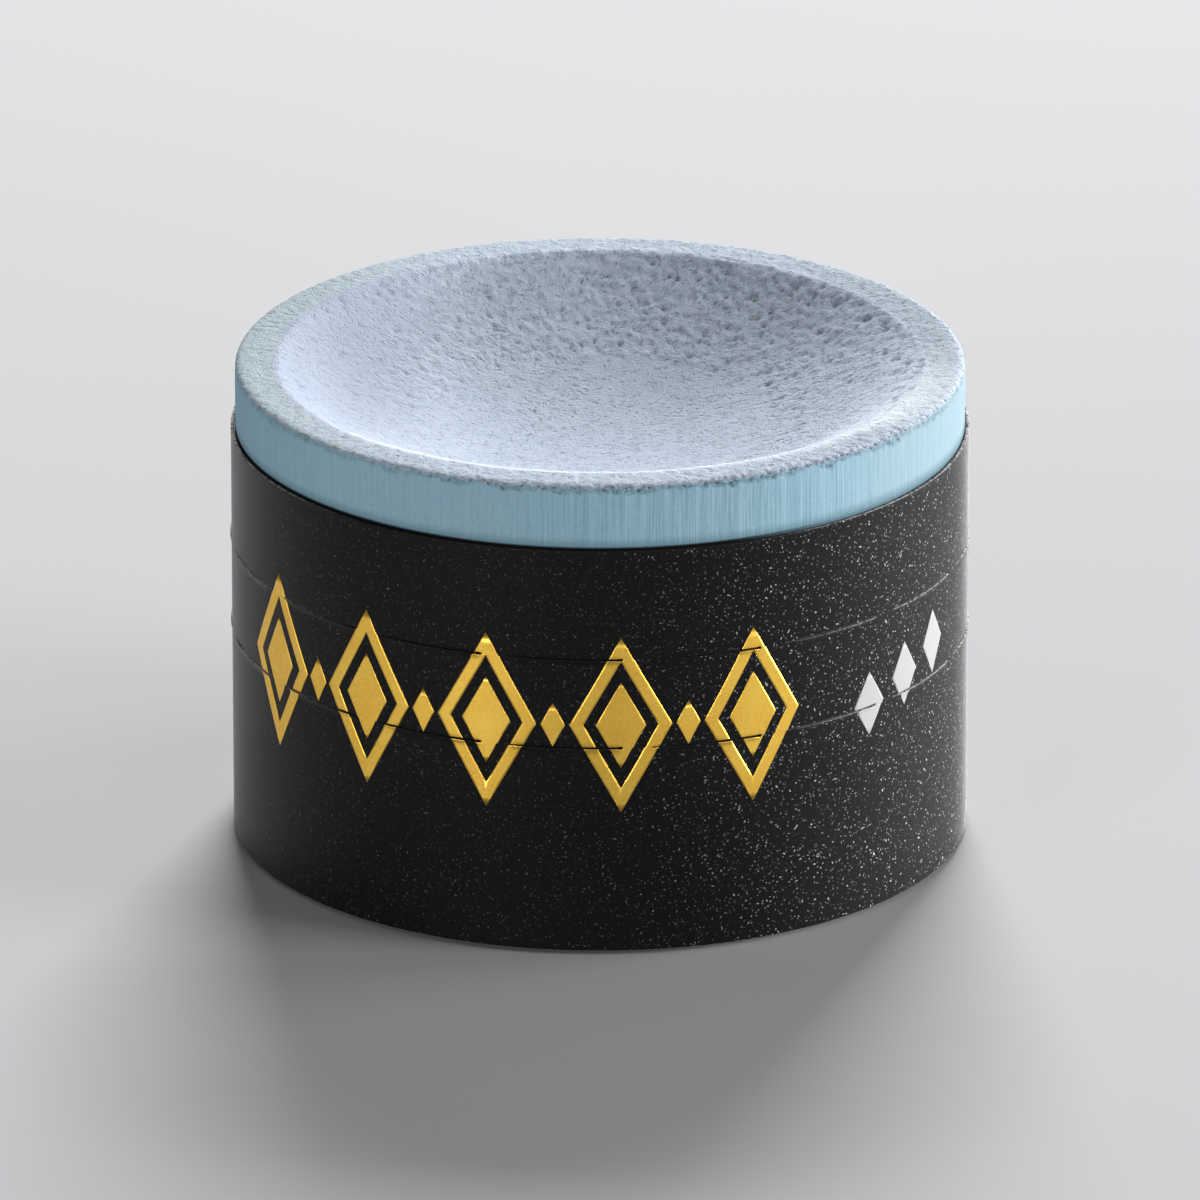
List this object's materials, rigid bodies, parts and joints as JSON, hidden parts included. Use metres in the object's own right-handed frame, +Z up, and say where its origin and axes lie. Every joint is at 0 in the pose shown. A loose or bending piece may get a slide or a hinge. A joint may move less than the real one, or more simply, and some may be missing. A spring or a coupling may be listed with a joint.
{
  "type": "pool cue chalk",
  "caption": "Short round block of pressed cue chalk with a shallow bowl in its top, in a thin black film sleeve with perforated tear lines.",
  "frame": {"origin": "middle of the flat foot, on the surface the chalk stands on", "axes": "+Z up the axis of the round block; -Y to the front of the print, away from the lap seam; +X to the right of the print"},
  "size_m": [0.0254, 0.0255, 0.0169],
  "materials": {
    "pressed_chalk": "matt, powdery",
    "printed_film": "satin black film with fine pale specks, gold and white print"
  },
  "bodies": {
    "root": {"chalk": "pressed_chalk", "wrapper": "printed_film"}
  },
  "joints": []
}
